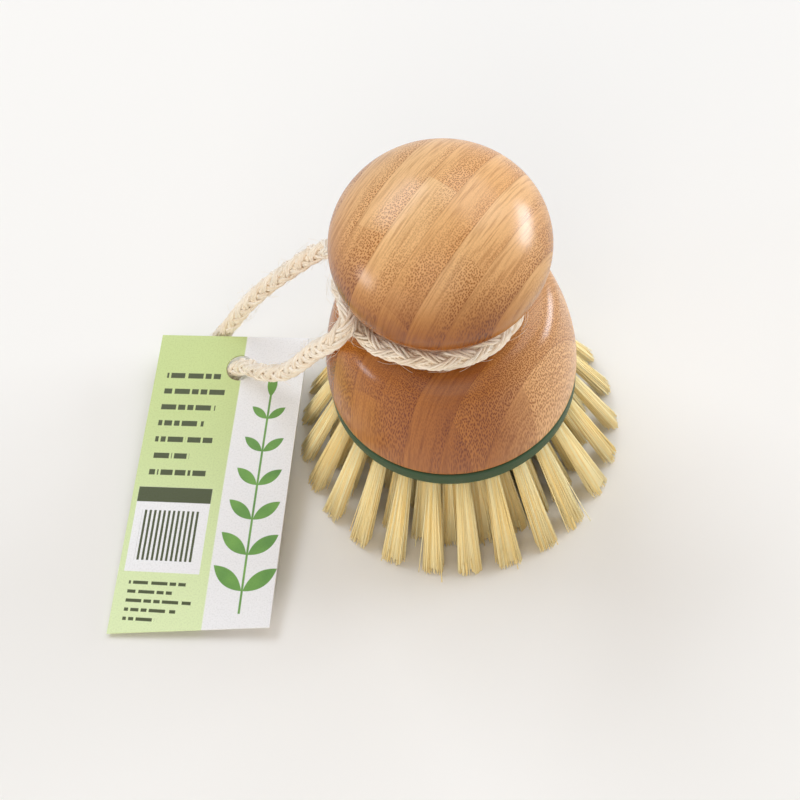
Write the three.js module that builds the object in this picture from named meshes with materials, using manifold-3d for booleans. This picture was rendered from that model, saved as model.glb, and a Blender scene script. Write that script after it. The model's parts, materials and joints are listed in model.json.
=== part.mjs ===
// Palm dish brush: a turned bamboo handle on a round plate of bristle tufts, a cord tied round its waist
// and a card tag threaded on the cord. Millimetres, +Z up. The origin is on the handle's axis, on the
// surface that the tufts stand on, and the side that carries the cord's loop is -X.
import * as THREE from "three";
import { mergeVertices } from "three/addons/utils/BufferGeometryUtils.js";
import Module from "manifold-3d";

const wasm = await Module();
wasm.setup();

// Gap between neighbouring pieces, and the number of flats round a turned piece
const GAP = 0.3;
const TURNED_SIDES = 48;
const MERGE_DISTANCE = 1e-5;

// Bristle plate
const PLATE_RADIUS = 29.5;
const PLATE_BOTTOM = 28.2;
const PLATE_TOP = 32.6;
const PLATE_RIM = 0.9;
const PLATE_EDGE = 0.4;
const HUB_RADIUS = 5;
const SPIGOT_RADIUS = 6;
const SPIGOT_HEIGHT = 6;
const BACKING_THICKNESS = 1.4;

// Screw that holds the plate to the handle
const SCREW_HEAD_RADIUS = 4;
const SCREW_HEAD_HEIGHT = 2.2;
const SCREW_SHANK_RADIUS = 2;
const SCREW_LENGTH = 20;
const SCREW_POINT = 3;
const SCREW_SINK = 0.3;
const SCREW_SIDES = 24;
const DRIVE_SLOT_LENGTH = 4.4;
const DRIVE_SLOT_WIDTH = 1;
const DRIVE_SLOT_DEPTH = 1.3;

// Handle: a dome, a waist that the cord lies in, and an egg-shaped knob
const HANDLE_RADIUS = 29.5;
const HANDLE_EDGE = 1;
const DOME_SIDE_HEIGHT = 43;
const DOME_TURN_RADIUS = 27.4;
const DOME_TURN_HEIGHT = 50.5;
const SHOULDER_RADIUS = 25.4;
const SHOULDER_HEIGHT = 56.6;
const SHOULDER_TURN_RADIUS = 24.2;
const SHOULDER_TURN_HEIGHT = 60.2;
const SHOULDER_RUN = 5.6;
const WAIST_RADIUS = 13.4;
const WAIST_ROOM = 0.4;
const KNOB_RADIUS = 23.2;
const KNOB_HALF_HEIGHT = 18.4;
const KNOB_CENTRE_HEIGHT = 82;
const HANDLE_STEPS = { edge: 2, dome: 6, shoulder: 5, waist: 3, knob: 15 };

// Tufts: each row's number of tufts, strands round each tuft's middle one, radii where the tufts leave the
// plate and where they meet the surface, inside and outside radii of its backing, and turn as a share of
// one tuft's step
const FIRST_TUFT_ANGLE = -94.9;
const TUFT_ROWS = [
  { name: "outer_tufts", tufts: 25, ring: 5, root: 26.2, tip: 39.9, inside: 24.0, outside: 28.3, turn: 0 },
  { name: "second_tufts", tufts: 25, ring: 4, root: 21.3, tip: 32.2, inside: 18.9, outside: 23.7, turn: 0.5 },
  { name: "third_tufts", tufts: 18, ring: 4, root: 16.1, tip: 24.0, inside: 13.6, outside: 18.6, turn: 0.25 },
  { name: "inner_tufts", tufts: 12, ring: 4, root: 10.4, tip: 16.0, inside: 5.3, outside: 13.3, turn: 0.5 },
];
const TUFT_ROOT_SPREAD = 1.3;
const TUFT_TIP_SPREAD_ALONG = 2.9;
const TUFT_TIP_SPREAD_OUT = 1.7;
const STRAND_ROOT_RADIUS = 0.62;
const STRAND_TIP_RADIUS = 0.68;
const STRAND_SIDES = 3;
const STRAND_SINK = 0.8;
const TIP_SHUFFLE = 0.618;
const TIP_UNEVENNESS = 1.5;
const TIP_CUT = 0.5;
const BACKING_SIDES = 36;

// Cord, and its route from the knot behind the waist: right, front and left of the waist, out along the
// back of the loop, under the tag and up through its hole, back along the front of the loop, over itself
// and round to the knot
const CORD_RADIUS = 2.3;
const CORD_SIDES = 10;
const CORD_STEP = 5;
const ROUTE_DIVISIONS = 2000;
const WAIST_TURN_RADIUS = 16;
const WAIST_TURN_HEIGHT = 65;
const KNOT_CENTRE = new THREE.Vector3(0, 22.8, 66.9);
const KNOT_HALF_LENGTH = 5.7;
const KNOT_RADIUS = 4.4;
const KNOT_SIDES = 16;
const KNOT_STEPS = 8;
const CORD_ROUTE = [
  [6.3, 22.8, 66.9],
  [9.2, 22.2, 66.7],
  [12.4, 15.4, 65.5],
  [15.2, 6.3, 65],
  [15.9, -2.6, 65],
  [12.7, -10.7, 65],
  [5.6, -16.4, 65],
  [-3.5, -17.5, 65],
  [-11.3, -14.4, 64.9],
  [-17.3, -9.9, 64.5],
  [-20, -3.9, 64.4],
  [-21.5, 1.1, 64.1],
  [-22.1, 6.8, 63.5],
  [-21.5, 12.7, 62.7],
  [-23.2, 19.2, 60.4],
  [-26.6, 22.4, 55.8],
  [-31.9, 25.6, 48],
  [-40.2, 29.9, 36],
  [-48.8, 34.8, 21],
  [-55.4, 37.4, 8.8],
  [-60.4, 36, 4],
  [-63, 31.2, 2.7],
  [-61.6, 26.4, 2.7],
  [-57.6, 24.6, 3.9],
  [-54, 24.4, 8.1],
  [-51.3, 21.6, 12.4],
  [-46.8, 15.8, 18],
  [-40.6, 9.4, 27],
  [-34.4, 3.4, 40.5],
  [-30, -1.6, 52.5],
  [-27.3, -5.7, 60.3],
  [-24.8, -8.1, 66],
  [-21.9, -6.9, 69],
  [-20.9, -1.3, 69.5],
  [-19.2, 4.1, 68.5],
  [-16.8, 8.6, 67.1],
  [-14.6, 13.2, 66.6],
  [-9.2, 22.2, 66.7],
  [-6.3, 22.8, 66.9],
];
// Places along the route where the loop bends away from the waist, as shares of the cord's length
const BACK_ROOT = 0.3252;
const FRONT_ROOT = 0.8585;

// Tag: a card with its hole near the upper edge, leaning on the cord with one lower corner on the surface
const TAG_HOLE_RADIUS = 3.65;
const TAG_HOLE_SIDES = 24;
const TAG_HOLE_CENTRE = new THREE.Vector3(-53.9, 24.4, 8.05);
const TAG_ABOVE_HOLE = 9.2;
const TAG_LEFT_OF_HOLE = 22.9;
const TAG_RIGHT_OF_HOLE = 17.6;
const TAG_LEFT_LENGTH = 82;
const TAG_RIGHT_LENGTH = 78;
const TAG_THICKNESS = 0.6;
const TAG_LEAN = new THREE.Euler(...[5, -3, -14.8].map(THREE.MathUtils.degToRad), "ZYX");

// Colours and finishes
const FINISHES = {
  bamboo: { color: 0xb8834e, roughness: 0.4, metalness: 0 },
  greenPlate: { color: 0x3c4226, roughness: 0.5, metalness: 0 },
  steel: { color: 0xb4b4b0, roughness: 0.35, metalness: 1 },
  bristle: { color: 0xdcc078, roughness: 0.7, metalness: 0 },
  cord: { color: 0xd8c6a8, roughness: 0.95, metalness: 0 },
  card: { color: 0xdfe8cf, roughness: 0.6, metalness: 0 },
};

// A closed geometry with its shared points merged and its empty triangles dropped
function closed(geometry) {
  const bare = geometry.clone();
  bare.deleteAttribute("normal");
  bare.deleteAttribute("uv");
  const merged = mergeVertices(bare, MERGE_DISTANCE);
  const index = merged.index.array;
  const kept = [];
  for (let i = 0; i < index.length; i += 3) {
    const [a, b, c] = index.slice(i, i + 3);
    if (a !== b && b !== c && c !== a) kept.push(a, b, c);
  }
  merged.setIndex(kept);
  return merged;
}

// A geometry as a solid that can be joined and cut
function solidOf(geometry) {
  const shape = closed(geometry);
  const vertProperties = new Float32Array(shape.attributes.position.array);
  const triVerts = new Uint32Array(shape.index.array);
  return new wasm.Manifold(new wasm.Mesh({ numProp: 3, vertProperties, triVerts }));
}

// A joined or cut solid as a geometry again
function geometryOf(solid) {
  const mesh = solid.getMesh();
  const geometry = new THREE.BufferGeometry();
  geometry.setAttribute("position", new THREE.BufferAttribute(mesh.vertProperties, mesh.numProp));
  geometry.setIndex(new THREE.BufferAttribute(mesh.triVerts, 1));
  return geometry;
}

// A turned piece from its outline of radius and height
function turned(outline, sides = TURNED_SIDES) {
  return closed(new THREE.LatheGeometry(outline, sides).rotateX(Math.PI / 2));
}

// A named piece in its own finish
function piece(name, geometry, finish) {
  geometry.computeVertexNormals();
  const mesh = new THREE.Mesh(geometry, new THREE.MeshStandardMaterial(FINISHES[finish]));
  mesh.name = name;
  return mesh;
}

// A point on a circle round the axis
function onCircle(radius, degrees, height) {
  const angle = THREE.MathUtils.degToRad(degrees);
  return new THREE.Vector3(radius * Math.cos(angle), radius * Math.sin(angle), height);
}

function point(radius, height) {
  return new THREE.Vector2(radius, height);
}

const screwHead = PLATE_BOTTOM + SCREW_SINK;
const screwTop = screwHead + SCREW_LENGTH;
const spigotTop = PLATE_TOP + SPIGOT_HEIGHT;
const screwBore = SCREW_SHANK_RADIUS + GAP;

function handle() {
  const bottom = PLATE_TOP + GAP;
  const socketRadius = SPIGOT_RADIUS + GAP;
  const cove = CORD_RADIUS + WAIST_ROOM;
  const inside = [
    point(0, screwTop + GAP),
    point(screwBore, screwTop + GAP - SCREW_POINT / 2),
    point(screwBore, spigotTop + GAP),
    point(socketRadius, spigotTop + GAP),
    point(socketRadius, bottom),
  ];
  const edge = new THREE.QuadraticBezierCurve(
    point(HANDLE_RADIUS - HANDLE_EDGE, bottom),
    point(HANDLE_RADIUS, bottom),
    point(HANDLE_RADIUS, bottom + HANDLE_EDGE),
  );
  const dome = new THREE.CubicBezierCurve(
    point(HANDLE_RADIUS, bottom + HANDLE_EDGE),
    point(HANDLE_RADIUS, DOME_SIDE_HEIGHT),
    point(DOME_TURN_RADIUS, DOME_TURN_HEIGHT),
    point(SHOULDER_RADIUS, SHOULDER_HEIGHT),
  );
  const shoulder = new THREE.CubicBezierCurve(
    point(SHOULDER_RADIUS, SHOULDER_HEIGHT),
    point(SHOULDER_TURN_RADIUS, SHOULDER_TURN_HEIGHT),
    point(WAIST_TURN_RADIUS + SHOULDER_RUN, WAIST_TURN_HEIGHT - cove),
    point(WAIST_TURN_RADIUS, WAIST_TURN_HEIGHT - cove),
  );
  const waistDepth = WAIST_TURN_RADIUS - WAIST_RADIUS;
  const waist = new THREE.EllipseCurve(
    WAIST_TURN_RADIUS, WAIST_TURN_HEIGHT, waistDepth, cove, -Math.PI / 2, -Math.PI, true,
  );
  const knobStart = -Math.acos(WAIST_RADIUS / KNOB_RADIUS);
  const knob = new THREE.EllipseCurve(
    0, KNOB_CENTRE_HEIGHT, KNOB_RADIUS, KNOB_HALF_HEIGHT, knobStart, Math.PI / 2,
  );
  const crown = knob.getPoints(HANDLE_STEPS.knob);
  crown[crown.length - 1].x = 0;
  const outline = [
    ...inside,
    ...edge.getPoints(HANDLE_STEPS.edge),
    ...dome.getPoints(HANDLE_STEPS.dome).slice(1),
    ...shoulder.getPoints(HANDLE_STEPS.shoulder).slice(1),
    ...waist.getPoints(HANDLE_STEPS.waist).slice(1),
    ...crown,
  ];
  return piece("bamboo_handle", turned(outline), "bamboo");
}

function plate() {
  const recess = PLATE_BOTTOM + BACKING_THICKNESS + GAP;
  const sinkRadius = SCREW_HEAD_RADIUS + GAP;
  const sinkTop = screwHead + SCREW_HEAD_HEIGHT;
  const outline = [
    point(screwBore, sinkTop),
    point(sinkRadius, screwHead),
    point(sinkRadius, PLATE_BOTTOM),
    point(HUB_RADIUS, PLATE_BOTTOM),
    point(HUB_RADIUS, recess),
    point(PLATE_RADIUS - PLATE_RIM, recess),
    point(PLATE_RADIUS - PLATE_RIM, PLATE_BOTTOM),
    point(PLATE_RADIUS - PLATE_EDGE, PLATE_BOTTOM),
    point(PLATE_RADIUS, PLATE_BOTTOM + PLATE_EDGE),
    point(PLATE_RADIUS, PLATE_TOP - PLATE_EDGE),
    point(PLATE_RADIUS - PLATE_EDGE, PLATE_TOP),
    point(SPIGOT_RADIUS, PLATE_TOP),
    point(SPIGOT_RADIUS, spigotTop),
    point(screwBore, spigotTop),
    point(screwBore, sinkTop),
  ];
  return piece("bristle_plate", turned(outline), "greenPlate");
}

function screw() {
  const outline = [
    point(0, screwHead),
    point(SCREW_HEAD_RADIUS, screwHead),
    point(SCREW_SHANK_RADIUS, screwHead + SCREW_HEAD_HEIGHT),
    point(SCREW_SHANK_RADIUS, screwTop - SCREW_POINT),
    point(0, screwTop),
  ];
  const slot = new THREE.BoxGeometry(DRIVE_SLOT_LENGTH, DRIVE_SLOT_WIDTH, 2 * DRIVE_SLOT_DEPTH);
  slot.translate(0, 0, screwHead);
  const cross = solidOf(slot).add(solidOf(slot.clone().rotateZ(Math.PI / 2)));
  const body = solidOf(turned(outline, SCREW_SIDES)).subtract(cross);
  return piece("plate_screw", geometryOf(body), "steel");
}

// One three-sided strand with level ends, from a point in the backing down to a point on or above the surface
function strand(root, tip, turn) {
  const prism = new THREE.CylinderGeometry(STRAND_ROOT_RADIUS, STRAND_TIP_RADIUS, 1, STRAND_SIDES);
  prism.rotateY(turn);
  const along = root.clone().sub(tip);
  const middle = root.clone().add(tip).multiplyScalar(0.5);
  const place = new THREE.Matrix4();
  place.makeBasis(new THREE.Vector3(1, 0, 0), along, new THREE.Vector3(0, -1, 0)).setPosition(middle);
  return solidOf(prism.applyMatrix4(place));
}

// The strands of one tuft: a middle one and a ring round it that opens towards the tips
function tuft(row, degrees, first) {
  const out = onCircle(1, degrees, 0);
  const side = onCircle(1, degrees + 90, 0);
  const strands = [];
  for (let i = 0; i <= row.ring; i += 1) {
    const spoke = i === 0 ? point(0, 0) : point(1, 0).rotateAround(point(0, 0), (2 * Math.PI * i) / row.ring);
    const at = (radius, spreadOut, spreadAlong, height) =>
      new THREE.Vector3(0, 0, height)
        .addScaledVector(out, radius + spreadOut * spoke.x)
        .addScaledVector(side, spreadAlong * spoke.y);
    const root = at(row.root, TUFT_ROOT_SPREAD, TUFT_ROOT_SPREAD, PLATE_BOTTOM);
    const tip = at(row.tip, TUFT_TIP_SPREAD_OUT, TUFT_TIP_SPREAD_ALONG, 0);
    // Tips of uneven length, the longest of them cut level with the surface
    const uneven = ((first + i) * TIP_SHUFFLE) % 1;
    const tipHeight = Math.max(0, TIP_UNEVENNESS * uneven - TIP_CUT);
    const sink = root.clone().sub(tip).multiplyScalar(STRAND_SINK / PLATE_BOTTOM).add(root);
    strands.push(strand(sink, tip.clone().lerp(root, tipHeight / PLATE_BOTTOM), first + i));
  }
  return strands;
}

// One row of tufts on its own slice of the backing
function tuftRow(row) {
  const backing = turned([
    point(row.inside, PLATE_BOTTOM),
    point(row.outside, PLATE_BOTTOM),
    point(row.outside, PLATE_BOTTOM + BACKING_THICKNESS),
    point(row.inside, PLATE_BOTTOM + BACKING_THICKNESS),
    point(row.inside, PLATE_BOTTOM),
  ], BACKING_SIDES);
  const step = 360 / row.tufts;
  const solids = [solidOf(backing)];
  for (let i = 0; i < row.tufts; i += 1) {
    solids.push(...tuft(row, FIRST_TUFT_ANGLE + (i + row.turn) * step, i * (row.ring + 1)));
  }
  return piece(row.name, geometryOf(wasm.Manifold.union(solids)), "bristle");
}

const cordRoute = new THREE.CatmullRomCurve3(CORD_ROUTE.map((at) => new THREE.Vector3(...at)));
cordRoute.arcLengthDivisions = ROUTE_DIVISIONS;
const cordLength = cordRoute.getLength();

// A stretch of the cord's route between two shares of its length
class Stretch extends THREE.Curve {
  constructor(from, to) {
    super();
    this.from = from;
    this.to = to;
  }

  getPoint(t, target = new THREE.Vector3()) {
    return cordRoute.getPointAt(THREE.MathUtils.lerp(this.from, this.to, t), target);
  }
}

function cordTube(from, to) {
  const section = new THREE.Shape().absarc(0, 0, CORD_RADIUS, 0, 2 * Math.PI);
  const steps = Math.ceil(((to - from) * cordLength) / CORD_STEP);
  return new THREE.ExtrudeGeometry(section, {
    steps,
    curveSegments: CORD_SIDES / 2,
    extrudePath: new Stretch(from, to),
  });
}

// A round end, where the loop bends away from the cord at the waist
function roundEnd(share) {
  const centre = cordRoute.getPointAt(share);
  const ball = new THREE.SphereGeometry(CORD_RADIUS, CORD_SIDES, CORD_SIDES / 2);
  return solidOf(ball.translate(...centre.toArray()));
}

// The loop starts clear of the round ends by enough for it to bend square to them
function cord() {
  const bendRoom = (CORD_RADIUS + GAP) / cordLength;
  const waistTurn = solidOf(cordTube(0, BACK_ROOT)).add(roundEnd(BACK_ROOT));
  const crossOver = solidOf(cordTube(FRONT_ROOT, 1)).add(roundEnd(FRONT_ROOT));
  const loop = closed(cordTube(BACK_ROOT + bendRoom, FRONT_ROOT - bendRoom));
  return [
    piece("cord_waist_turn", geometryOf(waistTurn), "cord"),
    piece("cord_cross_over", geometryOf(crossOver), "cord"),
    piece("cord_hanging_loop", loop, "cord"),
  ];
}

function knot() {
  // The curve's inner points lie this far out for its middle to reach the knot's radius
  const pull = (4 * KNOT_RADIUS - CORD_RADIUS) / 3;
  const bulge = new THREE.CubicBezierCurve(
    point(CORD_RADIUS, -KNOT_HALF_LENGTH),
    point(pull, -KNOT_HALF_LENGTH),
    point(pull, KNOT_HALF_LENGTH),
    point(CORD_RADIUS, KNOT_HALF_LENGTH),
  );
  const outline = [point(0, -KNOT_HALF_LENGTH), ...bulge.getPoints(KNOT_STEPS), point(0, KNOT_HALF_LENGTH)];
  const mesh = piece("cord_knot", turned(outline, KNOT_SIDES), "cord");
  mesh.position.copy(KNOT_CENTRE);
  mesh.rotation.y = Math.PI / 2;
  return mesh;
}

function tag() {
  const outline = new THREE.Shape([
    point(-TAG_LEFT_OF_HOLE, TAG_ABOVE_HOLE),
    point(-TAG_LEFT_OF_HOLE, TAG_ABOVE_HOLE - TAG_LEFT_LENGTH),
    point(TAG_RIGHT_OF_HOLE, TAG_ABOVE_HOLE - TAG_RIGHT_LENGTH),
    point(TAG_RIGHT_OF_HOLE, TAG_ABOVE_HOLE),
  ]);
  outline.holes.push(new THREE.Path().absarc(0, 0, TAG_HOLE_RADIUS, 0, 2 * Math.PI));
  const card = new THREE.ExtrudeGeometry(outline, {
    depth: TAG_THICKNESS,
    curveSegments: TAG_HOLE_SIDES / 2,
    bevelEnabled: false,
  });
  card.translate(0, 0, -TAG_THICKNESS / 2);
  const mesh = piece("hang_tag", closed(card), "card");
  mesh.position.copy(TAG_HOLE_CENTRE);
  mesh.rotation.copy(TAG_LEAN);
  return mesh;
}

const brush = new THREE.Group();
brush.add(handle(), plate(), screw(), ...TUFT_ROWS.map(tuftRow), ...cord(), knot(), tag());

export default brush;
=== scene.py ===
"""Looks of a palm dish brush.

A lacquered bamboo handle stands on a green plate of bristle tufts. A plaited cord is tied round the
handle's waist, and a printed card tag is threaded on the cord's loop. Metres, +Z up, in the frame of the
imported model: the origin is on the handle's axis, on the surface that the bristles stand on.
"""
import json
import logging
import math
import random
from dataclasses import dataclass, field
from enum import Enum
from typing import Iterator, Sequence, Union

import bmesh
import bpy
from mathutils import Euler, Matrix, Vector
from mathutils.geometry import interpolate_bezier
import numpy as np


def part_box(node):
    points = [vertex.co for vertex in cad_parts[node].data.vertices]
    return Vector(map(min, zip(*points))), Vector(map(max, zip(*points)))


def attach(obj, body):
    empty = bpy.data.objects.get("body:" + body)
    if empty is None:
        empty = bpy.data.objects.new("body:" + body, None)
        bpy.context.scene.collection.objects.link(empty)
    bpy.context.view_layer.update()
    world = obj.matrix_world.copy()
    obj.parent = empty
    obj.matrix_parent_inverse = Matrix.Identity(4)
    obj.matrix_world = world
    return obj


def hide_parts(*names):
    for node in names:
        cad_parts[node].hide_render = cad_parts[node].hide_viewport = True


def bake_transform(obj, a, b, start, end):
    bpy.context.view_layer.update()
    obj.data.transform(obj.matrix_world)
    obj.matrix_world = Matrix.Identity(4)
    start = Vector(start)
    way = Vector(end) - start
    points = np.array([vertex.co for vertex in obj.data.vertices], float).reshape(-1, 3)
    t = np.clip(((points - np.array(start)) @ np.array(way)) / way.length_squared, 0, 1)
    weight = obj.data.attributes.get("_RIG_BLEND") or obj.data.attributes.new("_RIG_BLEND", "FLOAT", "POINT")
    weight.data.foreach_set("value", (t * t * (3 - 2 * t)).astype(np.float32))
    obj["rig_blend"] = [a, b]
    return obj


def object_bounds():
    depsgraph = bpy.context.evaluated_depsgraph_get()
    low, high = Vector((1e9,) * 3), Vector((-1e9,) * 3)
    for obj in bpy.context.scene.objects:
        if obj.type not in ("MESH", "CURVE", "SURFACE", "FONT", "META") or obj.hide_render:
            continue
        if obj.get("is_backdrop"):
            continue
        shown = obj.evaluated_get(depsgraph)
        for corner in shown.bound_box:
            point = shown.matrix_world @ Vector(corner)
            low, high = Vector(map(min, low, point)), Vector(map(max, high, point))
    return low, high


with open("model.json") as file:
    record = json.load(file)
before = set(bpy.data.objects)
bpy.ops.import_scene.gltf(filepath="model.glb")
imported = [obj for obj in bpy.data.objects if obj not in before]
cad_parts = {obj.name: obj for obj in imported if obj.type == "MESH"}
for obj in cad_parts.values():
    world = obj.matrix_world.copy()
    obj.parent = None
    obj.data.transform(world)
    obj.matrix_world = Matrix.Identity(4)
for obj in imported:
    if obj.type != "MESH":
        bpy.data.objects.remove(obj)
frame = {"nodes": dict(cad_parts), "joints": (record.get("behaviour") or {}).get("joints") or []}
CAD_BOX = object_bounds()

LOG = logging.getLogger("dish_brush")
MM = 0.001
GOLDEN_ANGLE = math.pi * (3 - math.sqrt(5))
# Points closer than this are one point
MERGE = 0.001 * MM
# Soft noise mostly stays between these values
NOISE_RANGE = (0.3, 0.7)

Socket = bpy.types.NodeSocket
Plug = Union[float, Sequence[float], Socket]
Pair = tuple[float, float]
Triple = tuple[float, float, float]
Colour = tuple[float, float, float, float]
Mark = tuple[Pair, Pair, float]


class Body(Enum):
    """The bodies that pieces ride on."""

    BRUSH = "brush"
    NECK = "neck_cord"
    LOOP = "cord_loop"
    TAG = "tag"


class Slot(Enum):
    """The record's material slots."""

    BAMBOO = "bamboo"
    PLATE = "green_plate"
    BRISTLE = "bristle_fibre"
    CORD = "cord_fibre"
    CARD = "card"


class Stamp(Enum):
    """The shapes that the tag's print is made of."""

    BAR = "bar"
    LEAF = "leaf"


def rgb(red: int, green: int, blue: int) -> Colour:
    """Turn a screen colour into the linear colour that a shader takes.

    Args:
        red: Red from 0 to 255.
        green: Green from 0 to 255.
        blue: Blue from 0 to 255.

    Returns:
        The linear colour with an alpha of one.
    """
    shares = [value / 255 for value in (red, green, blue)]
    linear = [s / 12.92 if s <= 0.04045 else ((s + 0.055) / 1.055) ** 2.4 for s in shares]
    return (*linear, 1.0)


def on_circle(radius: float, angle: float, height: float) -> Vector:
    """Return the point at a radius, an angle in radians and a height round the brush's axis."""
    return Vector((radius * math.cos(angle), radius * math.sin(angle), height))


@dataclass(frozen=True)
class Flecks:
    """Flecks that noise makes on a surface.

    They come in over a range of the noise, up to a share of their colour. Noise also raises the surface by
    a depth in metres, and takes its roughness from one value to another.
    """

    colour: Colour
    over: Pair
    share: float
    depth: float
    roughness: Pair


class Graph:
    """The node graph of a material or of the world, built by short calls."""

    def __init__(self, name: str, world: bpy.types.World | None = None) -> None:
        """Start the graph.

        Args:
            name: The name of a new material with a plain surface shader.
            world: The world to take instead of a new material.
        """
        self.material = world or bpy.data.materials.new(name)
        self.material.use_nodes = True
        self.tree = self.material.node_tree
        self.shader = self.tree.nodes["Background" if world else "Principled BSDF"]
        self.output = self.tree.nodes["World Output" if world else "Material Output"]

    def plug(self, socket: Socket, value: Plug) -> None:
        """Link or set an input.

        Args:
            socket: The input.
            value: The output that it is linked to, or its value.
        """
        if isinstance(value, bpy.types.NodeSocket):
            self.tree.links.new(value, socket)
        else:
            socket.default_value = value

    def node(self, kind: str, plugs: dict, **settings: object) -> bpy.types.Node:
        """Add a node.

        Args:
            kind: The node's class name without its first word.
            plugs: Values and links of its inputs, by name or number.
            settings: Its own settings.

        Returns:
            The node.
        """
        node = self.tree.nodes.new("ShaderNode" + kind)
        for name, value in settings.items():
            setattr(node, name, value)
        for name, value in plugs.items():
            self.plug(node.inputs[name], value)
        return node

    def math(self, operation: str, *values: Plug, clamp: bool = False) -> Socket:
        """Work out a number from one, two or three others."""
        plugs = dict(enumerate(values))
        return self.node("Math", plugs, operation=operation, use_clamp=clamp).outputs[0]

    def times(self, first: Plug, second: Plug) -> Socket:
        """Multiply two numbers."""
        return self.math("MULTIPLY", first, second)

    def most(self, first: Plug, second: Plug) -> Socket:
        """Take the larger of two numbers."""
        return self.math("MAXIMUM", first, second)

    def mix(self, share: Plug, first: Plug, second: Plug) -> Socket:
        """Mix two colours by a share of the second."""
        return self.node("Mix", {0: share, 6: first, 7: second}, data_type="RGBA").outputs[2]

    def stain(self, share: Plug, colour: Plug, tint: Plug) -> Socket:
        """Darken a colour by a share of a tint."""
        plugs = {0: share, 6: colour, 7: tint}
        return self.node("Mix", plugs, data_type="RGBA", blend_type="MULTIPLY").outputs[2]

    def step(self, value: Plug, low: float, high: float, start: float = 0.0, stop: float = 1.0) -> Socket:
        """Rise smoothly from start to stop while a value goes from low to high."""
        plugs = {0: value, 1: low, 2: high, 3: start, 4: stop}
        return self.node("MapRange", plugs, interpolation_type="SMOOTHSTEP").outputs[0]

    def spread(self, noise: Plug, start: float, stop: float) -> Socket:
        """Go from start to stop over the range that soft noise mostly stays in."""
        return self.step(noise, *NOISE_RANGE, start, stop)

    def dot(self, vector: Plug, direction: Sequence[float]) -> Socket:
        """Measure a vector along a direction."""
        return self.node("VectorMath", {0: vector, 1: direction}, operation="DOT_PRODUCT").outputs["Value"]

    def vector(self, x: Plug, y: Plug, z: Plug) -> Socket:
        """Make a vector of three numbers."""
        return self.node("CombineXYZ", {0: x, 1: y, 2: z}).outputs[0]

    def parts(self, vector: Plug) -> Sequence[Socket]:
        """Split a vector into three numbers."""
        return self.node("SeparateXYZ", {0: vector}).outputs

    def pushed(self, start: Plug, push: Plug, size: Sequence[float]) -> Socket:
        """Push a vector on by another one times a size."""
        plugs = {0: push, 1: size, 2: start}
        return self.node("VectorMath", plugs, operation="MULTIPLY_ADD").outputs[0]

    def noise(self, vector: Plug, scale: float, detail: float = 2.0) -> Socket:
        """Add soft noise from 0 to 1."""
        return self.node("TexNoise", {"Vector": vector, "Scale": scale, "Detail": detail}).outputs[0]

    def looked_at(self) -> Socket:
        """Tell the rays that show a background from those that carry its light.

        Returns:
            One for the rays that show it, and zero for the others.
        """
        ray = self.node("LightPath", {}).outputs
        shiny = self.most(ray["Is Glossy Ray"], ray["Is Transmission Ray"])
        return self.most(ray["Is Camera Ray"], shiny)

    def cover(self, share: Plug, over: Socket) -> None:
        """Lay another shader over the first one by a share."""
        plugs = {0: share, 1: self.shader.outputs[0], 2: over}
        self.plug(self.output.inputs["Surface"], self.node("MixShader", plugs).outputs[0])

    def place(self) -> Socket:
        """Give the place on the object, in millimetres."""
        spot = self.node("TexCoord", {}).outputs["Object"]
        return self.node("VectorMath", {0: spot, 3: 1 / MM}, operation="SCALE").outputs[0]

    def attribute(self, name: str) -> Socket:
        """Give a number that the mesh carries."""
        return self.node("Attribute", {}, attribute_name=name).outputs["Fac"]

    def bump(self, height: Plug, depth: float) -> None:
        """Raise the surface by a height from 0 to 1 times a depth in metres."""
        node = self.node("Bump", {"Height": height, "Distance": depth})
        self.plug(self.shader.inputs["Normal"], node.outputs[0])

    def finish(self, **plugs: Plug) -> bpy.types.Material:
        """Set the shader's inputs.

        Args:
            plugs: Values and links of the inputs, named with underscores for spaces.

        Returns:
            The material.
        """
        for name, value in plugs.items():
            self.plug(self.shader.inputs[name.replace("_", " ")], value)
        return self.material

    def flecked(self, colour: Plug, flecks: Flecks, noise: Socket, relief: Socket,
                **plugs: Plug) -> bpy.types.Material:
        """Finish a surface with flecks.

        Args:
            colour: The colour between the flecks.
            flecks: The flecks.
            noise: The noise that colours the flecks and roughens the surface.
            relief: The noise that raises the surface.
            plugs: The shader's other inputs.

        Returns:
            The material.
        """
        colour = self.mix(self.step(noise, *flecks.over, 0.0, flecks.share), colour, flecks.colour)
        self.bump(relief, flecks.depth)
        return self.finish(Base_Color=colour, Roughness=self.spread(noise, *flecks.roughness), **plugs)


@dataclass(frozen=True)
class Layer:
    """How the bamboo lies in one part of the handle, in millimetres.

    The strips are stacked in the direction across, from a first glued face. A board of a strip ends at a
    joint, and its fibre bundles have a spacing.
    """

    across: Triple
    first: float
    thickness: float
    joint: float
    spacing: float


@dataclass(frozen=True)
class Board:
    """The board that a place on the handle lies in, as outputs of one graph.

    On the knob is one above the waist and zero below it. The strip is a count that is whole at each glued
    face, and inside is its fraction. Run is the distance along the strips. Tone and chance are random
    numbers of the board.
    """

    place: Socket
    side: Socket
    height: Socket
    on_knob: Socket
    strip: Socket
    inside: Socket
    run: Socket
    tone: Socket
    chance: Socket


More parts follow.
